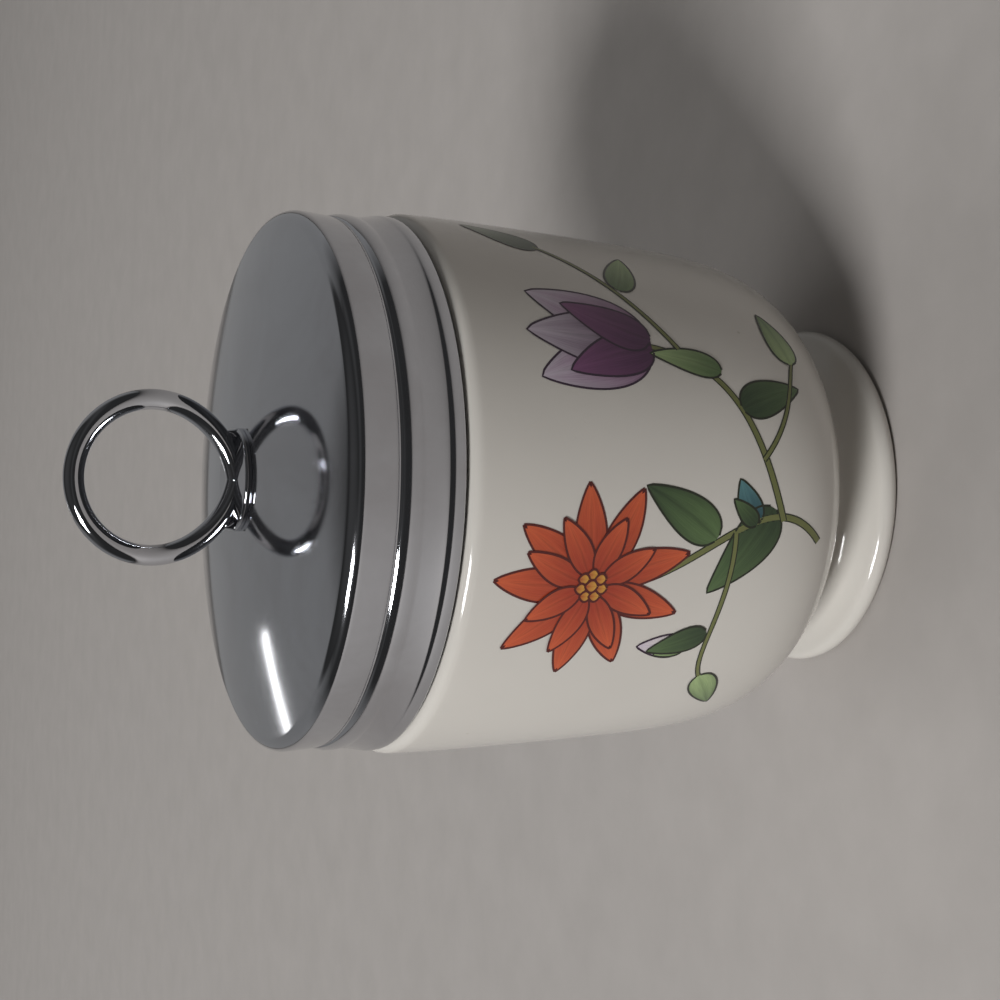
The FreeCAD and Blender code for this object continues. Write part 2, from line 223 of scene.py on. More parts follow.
neck_thread = winding(
    root_half=NECK_THREAD_ROOT_HALF,
    crest_half=NECK_THREAD_CREST_HALF,
    height=NECK_THREAD_HEIGHT,
    start_z=NECK_THREAD_START,
    start_turn=0.0,
    turns=NECK_THREAD_TURNS,
    fade_turns=THREAD_FADE,
)


def neck_swell(angle, radius, z):
    """The thread stands only on the neck's outer wall."""
    on_neck = (np.abs(radius - NECK_RADIUS) < 0.05) & (z > SHOULDER_TOP)
    return np.where(on_neck, neck_thread(angle, radius, z), 0)


cup = turned("cup_body", cup_section, CUP_SEGMENTS, swell=neck_swell)


def srgb(red, green, blue):
    """Scene-linear colour from values as a screen shows them, 0 to 255."""
    channel = np.array([red, green, blue]) / 255
    linear = np.where(channel <= 0.04045, channel / 12.92, ((channel + 0.055) / 1.055) ** 2.4)
    return (*linear.tolist(), 1.0)


def material(name):
    """A new material, its node tree and its Principled shader."""
    made = bpy.data.materials.new(name)
    made.use_nodes = True
    return made, made.node_tree, made.node_tree.nodes["Principled BSDF"]


def node(tree, kind, **values):
    """A node of that kind, with input sockets set by name."""
    made = tree.nodes.new(kind)
    for key, value in values.items():
        made.inputs[key.replace("_", " ")].default_value = value
    return made


def ramp(tree, factor, *stops):
    """A colour ramp over factor with (place, colour) stops."""
    made = tree.nodes.new("ShaderNodeValToRGB")
    elements = made.color_ramp.elements
    while len(elements) < len(stops):
        elements.new(0.5)
    for element, (place, colour) in zip(elements, stops):
        element.position = place
        element.color = colour
    tree.links.new(factor, made.inputs["Fac"])
    return made.outputs["Color"]


def grey(value):
    return (value, value, value, 1.0)


# The glaze has pooled and thinned by a few hundredths of a millimetre, so its shine ripples.
glaze = bpy.data.node_groups.new("glaze_surface", "ShaderNodeTree")
glaze.interface.new_socket("Roughness", in_out="OUTPUT", socket_type="NodeSocketFloat")
glaze.interface.new_socket("Normal", in_out="OUTPUT", socket_type="NodeSocketVector")
glaze_out = glaze.nodes.new("NodeGroupOutput")
place = glaze.nodes.new("ShaderNodeTexCoord").outputs["Object"]
ripple = node(glaze, "ShaderNodeTexNoise", Scale=55.0, Detail=2.0, Roughness=0.4)
pinholes = node(glaze, "ShaderNodeTexVoronoi", Scale=210.0)
smear = node(glaze, "ShaderNodeTexNoise", Scale=120.0, Detail=5.0, Roughness=0.65)
for texture in (ripple, pinholes, smear):
    glaze.links.new(place, texture.inputs["Vector"])
pit = ramp(glaze, pinholes.outputs["Distance"], (0.0, grey(0.0)), (0.045, grey(1.0)))
level = node(glaze, "ShaderNodeMath")
level.operation = "MULTIPLY_ADD"
level.inputs[1].default_value = 0.6
glaze.links.new(ripple.outputs["Fac"], level.inputs[0])
glaze.links.new(pit, level.inputs[2])
bump = node(glaze, "ShaderNodeBump", Strength=0.12, Distance=0.00012)
glaze.links.new(level.outputs[0], bump.inputs["Height"])
shine = node(glaze, "ShaderNodeMapRange")
shine.inputs["To Min"].default_value = 0.07
shine.inputs["To Max"].default_value = 0.16
glaze.links.new(smear.outputs["Fac"], shine.inputs["Value"])
glaze.links.new(shine.outputs["Result"], glaze_out.inputs["Roughness"])
glaze.links.new(bump.outputs["Normal"], glaze_out.inputs["Normal"])

porcelain, tree, shader = material("porcelain_glaze")
skin = tree.nodes.new("ShaderNodeGroup")
skin.node_tree = glaze
tree.links.new(skin.outputs["Normal"], shader.inputs["Normal"])
place = tree.nodes.new("ShaderNodeTexCoord").outputs["Object"]
cloud = node(tree, "ShaderNodeTexNoise", Scale=28.0, Detail=3.0, Roughness=0.5)
tree.links.new(place, cloud.inputs["Vector"])
WARM_WHITE = srgb(202, 198, 191)
CLEAR_WHITE = srgb(210, 206, 199)
IRON_SPECK = srgb(168, 160, 146)
BARE_BODY = srgb(196, 188, 172)
body_colour = ramp(tree, cloud.outputs["Fac"], (0.3, WARM_WHITE), (0.7, CLEAR_WHITE))
specks = node(tree, "ShaderNodeTexVoronoi", Scale=95.0)
tree.links.new(place, specks.inputs["Vector"])
speck_mask = ramp(tree, specks.outputs["Distance"], (0.0, grey(1.0)), (0.028, grey(0.0)))
speckled = node(tree, "ShaderNodeMix")
speckled.data_type = "RGBA"
speckled.inputs["B"].default_value = IRON_SPECK
tree.links.new(speck_mask, speckled.inputs["Factor"])
tree.links.new(body_colour, speckled.inputs["A"])
split = tree.nodes.new("ShaderNodeSeparateXYZ")
tree.links.new(place, split.inputs["Vector"])
bare = node(tree, "ShaderNodeMapRange")
bare.inputs["From Min"].default_value = 0.00045
bare.inputs["From Max"].default_value = 0.0002
tree.links.new(split.outputs["Z"], bare.inputs["Value"])
footed = node(tree, "ShaderNodeMix")
footed.data_type = "RGBA"
footed.inputs["B"].default_value = BARE_BODY
tree.links.new(bare.outputs["Result"], footed.inputs["Factor"])
tree.links.new(speckled.outputs["Result"], footed.inputs["A"])
tree.links.new(footed.outputs["Result"], shader.inputs["Base Color"])
matt = node(tree, "ShaderNodeMix")
matt.inputs["B"].default_value = 0.7
tree.links.new(bare.outputs["Result"], matt.inputs["Factor"])
tree.links.new(skin.outputs["Roughness"], matt.inputs["A"])
tree.links.new(matt.outputs["Result"], shader.inputs["Roughness"])
shader.inputs["IOR"].default_value = 1.52
cup.data.materials.append(porcelain)
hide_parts("cup")
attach(cup, "cup")

# Printed flowers
# A transfer print fired into the glaze: one loose spray of a red daisy, a violet tulip, a blue
# bud and leaves. Each shape is a thin skin of colour over the wall with a fine dark outline.
# Places on the print are (along, up): millimetres round the wall from its front, and height.

WALL_MEAN_RADIUS = 31.0
PRINT_LIFT = 0.03
LAYER_LIFT = 0.004
OUTLINE_WIDTH = 0.26
STEM_EDGE = 0.3
wall_slope = np.gradient(wall_line[:, 0], wall_line[:, 1])


def on_wall(along, up, lift):
    """Point on the cup's wall: angle a = along / mean radius from the front, radius that of the
    wall at that height, moved out along the wall's normal by lift."""
    a = along / WALL_MEAN_RADIUS
    slope = np.interp(up, wall_line[:, 1], wall_slope)
    length = np.sqrt(1 + slope**2)
    radius = np.interp(up, wall_line[:, 1], wall_line[:, 0]) + lift / length
    return np.stack([radius * np.sin(a), -radius * np.cos(a), up - lift * slope / length], -1)


class Print:
    """Collects the painted shapes of one motif and makes them one piece."""

    def __init__(self):
        self.points = []
        self.faces = []
        self.colours = []
        self.grain = []
        self.layer = 0

    def sheet(self, along, up, colour, grain, raised=0):
        """Adds a grid of points given by two arrays, with a colour and a (u, v) at each."""
        lift = PRINT_LIFT + LAYER_LIFT * (self.layer + raised)
        rows, columns = along.shape
        first = sum(len(part) for part in self.points)
        self.points.append(on_wall(along, up, lift).reshape(-1, 3))
        self.colours.append(colour.reshape(-1, 4))
        self.grain.append(grain.reshape(-1, 2))
        index = first + np.arange(rows * columns).reshape(rows, columns)
        quads = grid_faces(index)
        quad_along = along.reshape(-1)[quads - first]
        quad_up = up.reshape(-1)[quads - first]
        one_along, other_along = quad_along[:, 2] - quad_along[:, 0], quad_along[:, 3] - quad_along[:, 1]
        one_up, other_up = quad_up[:, 2] - quad_up[:, 0], quad_up[:, 3] - quad_up[:, 1]
        inward = one_along * other_up - other_along * one_up < 0
        quads[inward] = quads[inward][:, ::-1]
        self.faces.append(quads)

    def strip(self, line, width, colour, raised=1):
        """Adds a ribbon of that width along a line of (along, up) points."""
        line = np.asarray(line)
        run = np.gradient(line, axis=0)
        run /= np.maximum(np.hypot(*run.T), 1e-9)[:, None]
        side = np.column_stack([-run[:, 1], run[:, 0]]) * np.reshape(width, (-1, 1)) / 2
        edges = np.stack([line - side, line, line + side], 1)
        shade = np.broadcast_to(np.array(colour), (len(line), 3, 4))
        t = np.linspace(0, 1, len(line))
        grain = np.stack(np.broadcast_arrays(t[:, None], np.array([0.0, 0.5, 1.0])[None]), -1)
        self.sheet(edges[:, :, 0], edges[:, :, 1], shade, grain, raised)

    def petal(
        self, root, lean, length, width, inner, outer, line, bend=0.0, blunt=0.62, notch=0.0, vein=0.35
    ):
        """Adds a petal or leaf: P(t, k) = root + length t d + bend t^2 n + k w(t) n, where d leans
        lean degrees from up, n is across it, and w(t) = width sin(pi t^blunt)^0.75."""
        a = math.radians(lean)
        d = np.array([math.sin(a), math.cos(a)])
        n = np.array([math.cos(a), -math.sin(a)])
        t, k = np.meshgrid(np.linspace(0, 1, 25), np.linspace(-1, 1, 15), indexing="ij")
        half = width * np.sin(math.pi * np.clip(t, 0.004, 0.996) ** blunt) ** 0.75
        reach = length * (t - notch * t**6 * (1 - np.abs(k)) ** 2)
        along = root[0] + reach * d[0] + (bend * t**2 + k * half) * n[0]
        up = root[1] + reach * d[1] + (bend * t**2 + k * half) * n[1]
        mix = np.clip(t + 0.1 * np.cos(7 * k), 0, 1)[..., None] ** 1.3
        shade = np.array(inner) * (1 - mix) + np.array(outer) * mix
        rib = np.exp(-((k / 0.09) ** 2)) * (1 - t) ** 0.5
        rim = 0.18 * np.abs(k) ** 3
        shade = shade * (1 - (vein * rib + rim))[..., None]
        shade[..., 3] = 1.0
        self.sheet(along, up, shade, np.stack([t, k], -1))
        border = np.concatenate([
            np.column_stack([along[:, 0], up[:, 0]]),
            np.column_stack([along[-1, 1:-1], up[-1, 1:-1]]),
            np.column_stack([along[::-1, -1], up[::-1, -1]]),
        ])
        border = border[np.concatenate([[True], np.hypot(*np.diff(border, axis=0).T) > 0.02])]
        self.strip(border, OUTLINE_WIDTH, line)
        self.layer += 2

    def stem(self, poles, root_width, tip_width, colour, line):
        """Adds a stem along a Bezier curve, with its dark edge under it."""
        path = bezier(poles, 40)
        widths = np.linspace(root_width, tip_width, 40)
        self.strip(path, widths + STEM_EDGE, line, raised=0)
        self.strip(path, widths, colour, raised=1)
        self.layer += 2

    def piece(self, name, coat):
        """The motif as one piece with its colours in the attribute "tint" and a UV map."""
        points = np.vstack(self.points)
        made = mesh_piece(name, points, np.vstack(self.faces).tolist())
        tint = made.data.color_attributes.new("tint", "FLOAT_COLOR", "POINT")
        tint.data.foreach_set("color", np.vstack(self.colours).astype(np.float32).ravel())
        grain = np.vstack(self.grain)
        corner = np.zeros(len(made.data.loops), np.int32)
        made.data.loops.foreach_get("vertex_index", corner)
        uv = made.data.uv_layers.new(name="grain")
        uv.data.foreach_set("uv", grain[corner].astype(np.float32).ravel())
        made.data.materials.append(coat)
        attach(made, "cup")
        return made


ink, tree, shader = material("printed_enamel")
tint = tree.nodes.new("ShaderNodeVertexColor")
tint.layer_name = "tint"
grain = tree.nodes.new("ShaderNodeUVMap")
grain.uv_map = "grain"
stretch = node(tree, "ShaderNodeMapping")
stretch.inputs["Scale"].default_value = (1.5, 9.0, 1.0)
brush = node(tree, "ShaderNodeTexNoise", Scale=2.2, Detail=4.0, Roughness=0.6)
tree.links.new(grain.outputs["UV"], stretch.inputs["Vector"])
tree.links.new(stretch.outputs["Vector"], brush.inputs["Vector"])
stroke = ramp(tree, brush.outputs["Fac"], (0.3, grey(0.78)), (0.7, grey(1.14)))
painted = node(tree, "ShaderNodeMix")
painted.data_type = "RGBA"
painted.blend_type = "MULTIPLY"
painted.inputs["Factor"].default_value = 1.0
tree.links.new(tint.outputs["Color"], painted.inputs["A"])
tree.links.new(stroke, painted.inputs["B"])
tree.links.new(painted.outputs["Result"], shader.inputs["Base Color"])
skin = tree.nodes.new("ShaderNodeGroup")
skin.node_tree = glaze
tree.links.new(skin.outputs["Roughness"], shader.inputs["Roughness"])
tree.links.new(skin.outputs["Normal"], shader.inputs["Normal"])
shader.inputs["IOR"].default_value = 1.52

RED = srgb(206, 95, 57)
DEEP_RED = srgb(160, 57, 37)
RED_LINE = srgb(84, 28, 24)
VIOLET = srgb(129, 79, 121)
DEEP_VIOLET = srgb(79, 42, 77)
PALE_VIOLET = srgb(202, 190, 204)
VIOLET_LINE = srgb(52, 34, 54)
GREEN = srgb(87, 111, 70)
DARK_GREEN = srgb(49, 67, 44)
LIGHT_GREEN = srgb(158, 180, 126)
GREEN_LINE = srgb(36, 42, 28)
BLUE = srgb(92, 138, 142)
DEEP_BLUE = srgb(44, 78, 88)
OLIVE = srgb(112, 116, 70)
CREAM = srgb(214, 210, 200)
GOLD = srgb(206, 156, 66)

# Each stem: the poles of its curve, its widths at root and tip, its colour and its edge's.
spray = Print()
spray.stem([(-6.0, 15.0), (4.0, 24.0), (-12.0, 33.0), (-10.5, 44.0)], 0.75, 0.5, OLIVE, GREEN_LINE)
spray.stem([(-3.2, 21.0), (8.0, 25.0), (16.0, 27.0), (17.0, 38.0)], 0.7, 0.5, OLIVE, GREEN_LINE)
spray.stem([(-4.6, 27.5), (-13.0, 27.0), (-20.0, 30.0), (-24.5, 27.0)], 0.5, 0.35, OLIVE, GREEN_LINE)
spray.stem([(4.0, 24.0), (9.0, 19.5), (14.0, 19.0), (17.5, 17.5)], 0.45, 0.3, OLIVE, GREEN_LINE)
spray.stem([(17.0, 33.5), (22.0, 37.0), (28.0, 41.0), (33.0, 47.0)], 0.45, 0.3, OLIVE, GREEN_LINE)
spray.piece("print_stems", ink)

# Each leaf or petal: its root, lean in degrees, length and half width, then its colours.
foliage = Print()
foliage.petal((-1.6, 22.6), -62, 12.5, 2.9, DARK_GREEN, GREEN, GREEN_LINE, bend=2.0)
foliage.petal((-5.2, 30.0), 38, 11.0, 2.5, GREEN, DARK_GREEN, GREEN_LINE, bend=-1.2)
foliage.petal((10.0, 26.3), 150, 9.5, 2.3, DARK_GREEN, GREEN, GREEN_LINE, bend=1.2)
foliage.petal((14.5, 28.4), 20, 9.0, 1.7, GREEN, LIGHT_GREEN, GREEN_LINE, bend=-1.6)
foliage.petal((32.6, 46.6), 34, 9.5, 2.1, DARK_GREEN, GREEN, GREEN_LINE, bend=0.8)
foliage.petal((25.4, 38.9), 118, 8.0, 1.9, GREEN, LIGHT_GREEN, GREEN_LINE, bend=-0.8)
foliage.petal((17.3, 17.7), 76, 8.0, 2.0, LIGHT_GREEN, GREEN, GREEN_LINE, bend=-0.6, vein=0.2)
foliage.petal((-24.2, 27.2), -128, 7.5, 1.8, LIGHT_GREEN, GREEN, GREEN_LINE, bend=0.8, vein=0.2)
foliage.petal((-17.0, 28.8), -24, 7.5, 1.7, DARK_GREEN, GREEN, GREEN_LINE, bend=0.8)
foliage.piece("print_leaves", ink)

DAISY_PLACE = (-10.5, 45.2)
DAISY_EYE = 1.2
daisy = Print()
outer_ring = (9, 10.8, 1.95, 0)
inner_ring = (8, 7.6, 1.5, 20)
for ring_of_petals, (count, length, half, turn) in enumerate((outer_ring, inner_ring)):
    for step in range(count):
        lean = turn + step * 360 / count
        reach = length * (1 + 0.06 * math.sin(5.1 * step + ring_of_petals)) * 0.98
        out = (math.sin(math.radians(lean)), math.cos(math.radians(lean)))
        start = (DAISY_PLACE[0] + DAISY_EYE * out[0], DAISY_PLACE[1] + DAISY_EYE * out[1])
        sway = 0.7 * math.cos(3 * step)
        daisy.petal(start, lean, reach, half, DEEP_RED, RED, RED_LINE, bend=sway, blunt=0.8, notch=0.05)
STAMENS = 7
for turn, (distance, size) in enumerate(((1.3, 1.15),) * STAMENS + ((0.0, 1.3),)):
    a = 2 * math.pi * turn / STAMENS
    across = DAISY_PLACE[0] + distance * math.cos(a)
    upward = DAISY_PLACE[1] + distance * math.sin(a) - 0.55 * size
    daisy.petal((across, upward), 0, size * 1.2, size * 0.55, GOLD, DEEP_RED, RED_LINE, blunt=0.9, vein=0.1)
daisy.piece("print_daisy", ink)

tulip = Print()
tulip.petal((17.2, 37.4), -26, 15.0, 3.6, VIOLET, PALE_VIOLET, VIOLET_LINE, bend=1.6, blunt=0.7)
tulip.petal((17.2, 37.4), 30, 15.0, 3.6, VIOLET, PALE_VIOLET, VIOLET_LINE, bend=-1.6, blunt=0.7)
tulip.petal((17.2, 37.0), 2, 15.4, 3.9, DEEP_VIOLET, PALE_VIOLET, VIOLET_LINE, blunt=0.62)
tulip.petal((16.6, 37.0), -12, 11.4, 2.7, DEEP_VIOLET, VIOLET, VIOLET_LINE, bend=-1.2, blunt=0.62)
tulip.petal((17.9, 37.0), 15, 11.0, 2.6, DEEP_VIOLET, VIOLET, VIOLET_LINE, bend=1.2, blunt=0.62)
tulip.piece("print_tulip", ink)

buds = Print()
buds.petal((-3.6, 24.8), 60, 5.8, 1.7, DEEP_BLUE, BLUE, GREEN_LINE, bend=0.5)
buds.petal((-3.6, 24.8), 42, 4.4, 1.1, DARK_GREEN, GREEN, GREEN_LINE)
buds.petal((-19.0, 31.0), 8, 6.4, 1.7, CREAM, PALE_VIOLET, VIOLET_LINE, bend=-0.4, vein=0.1)
buds.petal((-19.0, 31.0), -14, 4.0, 1.0, GREEN, LIGHT_GREEN, GREEN_LINE)
buds.piece("print_buds", ink)

# Lid shell
# Pressed from sheet metal and chrome plated: a low dome, a rounded rim, an upper band that runs
# down into a fine crease, a rounded step, a slightly hollow lower band and a lip curled outward.

SHEET = 0.45
LID_RADIUS = 31.45
RIM_ROUND = 1.7
RIM_HEIGHT = 71.7
DOME_RISE = 3.45
FLAT_RADIUS = 6.6
TENON_RADIUS = 1.5
UPPER_BAND_MIDDLE = (31.30, 69.95)
CREASE_TOP = (31.10, 68.2)
CREASE = (30.95, 67.95)
CREASE_FOOT = (31.10, 67.7)
STEP_ROUND = (31.37, 66.85)
LOWER_BAND_TOP = (31.24, 65.3)
LOWER_BAND_MIDDLE = (31.27, 63.9)
LIP_ROOT = (31.45, 62.45)
LIP_ROUND = (31.60, 61.5)
LIP_EDGE = (31.52, 60.85)
LID_SEGMENTS = 320
rim_reach = LID_RADIUS - RIM_ROUND
dome_radius = (rim_reach**2 + DOME_RISE**2) / (2 * DOME_RISE) + RIM_ROUND
dome_centre = RIM_HEIGHT - math.sqrt((dome_radius - RIM_ROUND) ** 2 - rim_reach**2)
lean_at_rim = math.degrees(math.atan2(RIM_HEIGHT - dome_centre, rim_reach))
lean_at_flat = math.degrees(math.acos(FLAT_RADIUS / dome_radius))
lid_flat = dome_centre + dome_radius * math.sin(math.radians(lean_at_flat))


def through(points, count):
    """Points of the circle arc through three points."""
    (ax, az), (bx, bz), (cx, cz) = points
    d = 2 * (ax * (bz - cz) + bx * (cz - az) + cx * (az - bz))
    a2, b2, c2 = ax**2 + az**2, bx**2 + bz**2, cx**2 + cz**2
    centre = (
        (a2 * (bz - cz) + b2 * (cz - az) + c2 * (az - bz)) / d,
        (a2 * (cx - bx) + b2 * (ax - cx) + c2 * (bx - ax)) / d,
    )
    angles = np.unwrap([math.atan2(z - centre[1], x - centre[0]) for x, z in points])
    radius = math.hypot(ax - centre[0], az - centre[1])
    return arc(centre, radius, math.degrees(angles[0]), math.degrees(angles[2]), count)


def lid_outline(inset):
    """The shell's section from the middle of the top to the lip's edge, inset into the metal."""
    def moved(*points):
        return [(r - inset, z) for r, z in points]
    top = straight((TENON_RADIUS, lid_flat - inset), (FLAT_RADIUS * 0.97, lid_flat - inset), 5)
    dome = arc((0, dome_centre), dome_radius - inset, lean_at_flat, lean_at_rim, 60)
    rim = arc((rim_reach, RIM_HEIGHT), RIM_ROUND - inset, lean_at_rim, 0, 24)
    return chain(
        top,
        dome,
        rim,
        through(moved((LID_RADIUS, RIM_HEIGHT), UPPER_BAND_MIDDLE, CREASE_TOP), 14),
        through(moved(CREASE_TOP, CREASE, CREASE_FOOT), 9),
        through(moved(CREASE_FOOT, STEP_ROUND, LOWER_BAND_TOP), 16),
        through(moved(LOWER_BAND_TOP, LOWER_BAND_MIDDLE, LIP_ROOT), 16),
        through(moved(LIP_ROOT, LIP_ROUND, LIP_EDGE), 12),
    )


shell_section = np.vstack([lid_outline(0.0)[::-1], lid_outline(SHEET)])
lid_shell = turned("lid_shell", shell_section, LID_SEGMENTS, closed=True)

# Chrome plate: faint wipe marks, a few hair scratches and fine pits in a bright mirror.
plating = bpy.data.node_groups.new("plated_surface", "ShaderNodeTree")
plating.interface.new_socket("Roughness", in_out="OUTPUT", socket_type="NodeSocketFloat")
plating.interface.new_socket("Colour", in_out="OUTPUT", socket_type="NodeSocketColor")
plating.interface.new_socket("Normal", in_out="OUTPUT", socket_type="NodeSocketVector")
plating_out = plating.nodes.new("NodeGroupOutput")
place = plating.nodes.new("ShaderNodeTexCoord").outputs["Object"]
smudge = node(plating, "ShaderNodeTexNoise", Scale=60.0, Detail=6.0, Roughness=0.6, Distortion=0.8)
hair_place = node(plating, "ShaderNodeMapping")
hair_place.inputs["Rotation"].default_value = (0.3, 0.5, 0.7)
hair_place.inputs["Scale"].default_value = (1400.0, 40.0, 600.0)
hairs = node(plating, "ShaderNodeTexNoise", Scale=1.0, Detail=1.0)
pits = node(plating, "ShaderNodeTexVoronoi", Scale=160.0)
plating.links.new(place, smudge.inputs["Vector"])
plating.links.new(place, hair_place.inputs["Vector"])
plating.links.new(hair_place.outputs["Vector"], hairs.inputs["Vector"])
plating.links.new(place, pits.inputs["Vector"])
wiped = ramp(plating, smudge.outputs["Fac"], (0.45, grey(0.02)), (0.78, grey(0.08)))
scratched = ramp(plating, hairs.outputs["Fac"], (0.72, grey(0.0)), (0.8, grey(0.04)))
pitted = ramp(plating, pits.outputs["Distance"], (0.0, grey(0.25)), (0.04, grey(0.0)))
marks = node(plating, "ShaderNodeMath")
marks.operation = "ADD"
plating.links.new(wiped, marks.inputs[0])
plating.links.new(scratched, marks.inputs[1])
all_marks = node(plating, "ShaderNodeMath")
all_marks.operation = "ADD"
plating.links.new(marks.outputs[0], all_marks.inputs[0])
plating.links.new(pitted, all_marks.inputs[1])
plating.links.new(all_marks.outputs[0], plating_out.inputs["Roughness"])
CLEAN_CHROME = srgb(201, 203, 208)
HANDLED_CHROME = srgb(186, 186, 190)
bloom = ramp(plating, smudge.outputs["Fac"], (0.35, CLEAN_CHROME), (0.8, HANDLED_CHROME))
plating.links.new(bloom, plating_out.inputs["Colour"])
dents = node(plating, "ShaderNodeTexNoise", Scale=34.0, Detail=1.0)
plating.links.new(place, dents.inputs["Vector"])
plate_bump = node(plating, "ShaderNodeBump", Strength=0.05, Distance=0.0001)
plating.links.new(dents.outputs["Fac"], plate_bump.inputs["Height"])
plating.links.new(plate_bump.outputs["Normal"], plating_out.inputs["Normal"])


def plated(name, haze=0.0):
    """A chrome-plated material, with some haze where it has been wiped more often."""
    made, tree, shader = material(name)
    skin = tree.nodes.new("ShaderNodeGroup")
    skin.node_tree = plating
    tree.links.new(skin.outputs["Colour"], shader.inputs["Base Color"])
    dull = node(tree, "ShaderNodeMath")
    dull.operation = "ADD"
    dull.inputs[1].default_value = haze
    tree.links.new(skin.outputs["Roughness"], dull.inputs[0])
    tree.links.new(dull.outputs[0], shader.inputs["Roughness"])
    tree.links.new(skin.outputs["Normal"], shader.inputs["Normal"])
    shader.inputs["Metallic"].default_value = 1.0
    return made


lid_shell.data.materials.append(plated("chrome_shell", haze=0.06))
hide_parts("lid_cap")
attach(lid_shell, "lid")

# Threaded ring inside the lid
# A thin plated ring pressed into the shell: its wall carries the female thread and its flange
# bears on the cup's lip.

LINER_OUTER = 30.5
LINER_INNER = 30.05
LINER_FOOT = 62.0
FLANGE_TOP = 72.6
FLANGE_BORE = 25.4
EDGE = 0.12
CORNER = 0.8
LINER_THREAD_ROOT_HALF = 0.7
LINER_THREAD_CREST_HALF = 0.3
LINER_THREAD_HEIGHT = 0.75
LINER_THREAD_START = 62.95
LINER_THREAD_FIRST_TURN = 0.25
LINER_THREAD_TURNS = 1.25
liner_section = chain(
    arc((LINER_OUTER - EDGE, LINER_FOOT + EDGE), EDGE, -90, 0, 4),
    straight((LINER_OUTER, LINER_FOOT + EDGE), (LINER_OUTER, FLANGE_TOP - CORNER), 8),
    arc((LINER_OUTER - CORNER, FLANGE_TOP - CORNER), CORNER, 0, 90, 10),
    straight((LINER_OUTER - CORNER, FLANGE_TOP), (FLANGE_BORE + EDGE, FLANGE_TOP), 6),
    arc((FLANGE_BORE + EDGE, FLANGE_TOP - EDGE), EDGE, 90, 180, 4),
    arc((FLANGE_BORE + EDGE, NECK_TOP + EDGE), EDGE, 180, 270, 4),
    straight((FLANGE_BORE + EDGE, NECK_TOP), (LINER_INNER - EDGE, NECK_TOP), 6),
    straight((LINER_INNER, NECK_TOP - EDGE), (LINER_INNER, LINER_FOOT + EDGE), 90),
    straight((LINER_INNER + EDGE, LINER_FOOT), (LINER_OUTER - EDGE, LINER_FOOT), 3),
)
liner_thread = winding(
    root_half=LINER_THREAD_ROOT_HALF,
    crest_half=LINER_THREAD_CREST_HALF,
    height=-LINER_THREAD_HEIGHT,
    start_z=LINER_THREAD_START,
    start_turn=LINER_THREAD_FIRST_TURN,
    turns=LINER_THREAD_TURNS,
    fade_turns=THREAD_FADE,
)


def liner_swell(angle, radius, z):
    """The thread stands only on the liner's inner wall."""
    on_wall_inside = (np.abs(radius - LINER_INNER) < 0.01) & (z < NECK_TOP)
    return np.where(on_wall_inside, liner_thread(angle, radius, z), 0)


liner = turned("lid_thread_ring", liner_section[:-1], CUP_SEGMENTS, closed=True, swell=liner_swell)
liner.data.materials.append(plated("chrome_liner"))
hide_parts("thread_liner")
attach(liner, "lid")

# Lifting ring
# Round wire bent to a ring. Its lower arcs have a larger bend and meet in a shallow V, ground
# level underneath, where it is brazed to the base.

RING_BEND = 8.9
LOWER_BEND = 10.9
WIRE = 1.2
WIRE_SINK = 0.55
BASE_THICK = 0.75
SEAT_UNDER_WIRE = 0.25
CHANGE_DEGREES = 25
CHANGE = math.radians(CHANGE_DEGREES)
WIRE_SIDES = 32
END_STEP = 0.004
base_top = lid_flat + BASE_THICK
extra = LOWER_BEND - RING_BEND
v_depth = math.sqrt(LOWER_BEND**2 - (extra * math.cos(CHANGE)) ** 2)
ring_centre = base_top - WIRE_SINK + v_depth - extra * math.sin(CHANGE)
lower_centre = (-extra * math.cos(CHANGE), ring_centre + extra * math.sin(CHANGE))
v_angle = math.degrees(math.atan2(-v_depth, extra * math.cos(CHANGE)))
right_arc = arc(lower_centre, LOWER_BEND, v_angle, -CHANGE_DEGREES, 40)
near_end = (1 - END_STEP) * right_arc[:1] + END_STEP * right_arc[1:2]
ring_line = chain(
    right_arc[:1],
    near_end,
    right_arc[1:],
    arc((0, ring_centre), RING_BEND, -CHANGE_DEGREES, 180 + CHANGE_DEGREES, 90),
    right_arc[:0:-1] * (-1, 1),
    near_end * (-1, 1),
    right_arc[:1] * (-1, 1),
)
run = np.gradient(ring_line, axis=0)
run[0], run[1] = run[2], run[2]
run[-1], run[-2] = run[-3], run[-3]
run /= np.hypot(*run.T)[:, None]
# P(s, a) = line(s) + wire (cos a outward + sin a across). Each end is slid along the wire to the
# plane between the two halves, and the V is ground level underneath.
around = np.arange(WIRE_SIDES) * 2 * math.pi / WIRE_SIDES
outward = np.column_stack([run[:, 1], -run[:, 0]])
offset = WIRE * np.cos(around)[None, :, None] * outward[:, None, :]
tube = ring_line[:, None, :] + offset
for end in (0, -1):
    tube[end] -= run[end][None] * (tube[end][:, :1] / run[end][0])
tube[..., 1] = np.maximum(tube[..., 1], lid_flat + SEAT_UNDER_WIRE)
across = np.broadcast_to(WIRE * np.sin(around), tube.shape[:2])
tube_points = np.stack([tube[..., 0], across, tube[..., 1]], -1)
ring_index = np.arange(across.size).reshape(across.shape)
ring_faces = grid_faces(np.hstack([ring_index, ring_index[:, :1]]))[:, ::-1].tolist()
ring_faces.append(ring_index[0][::-1].tolist())
ring_faces.append(ring_index[-1].tolist())
lifting_ring = mesh_piece("lifting_ring", tube_points.reshape(-1, 3), ring_faces)
lifting_ring.data.materials.append(plated("chrome_wire"))
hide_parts("handle_ring")
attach(lifting_ring, "lid")

# Base of the ring
# A round disc brazed under the ring, with a tenon that goes down through the dome and is peened
# over a washer inside. Braze has drawn into the corners between the disc and the wire.

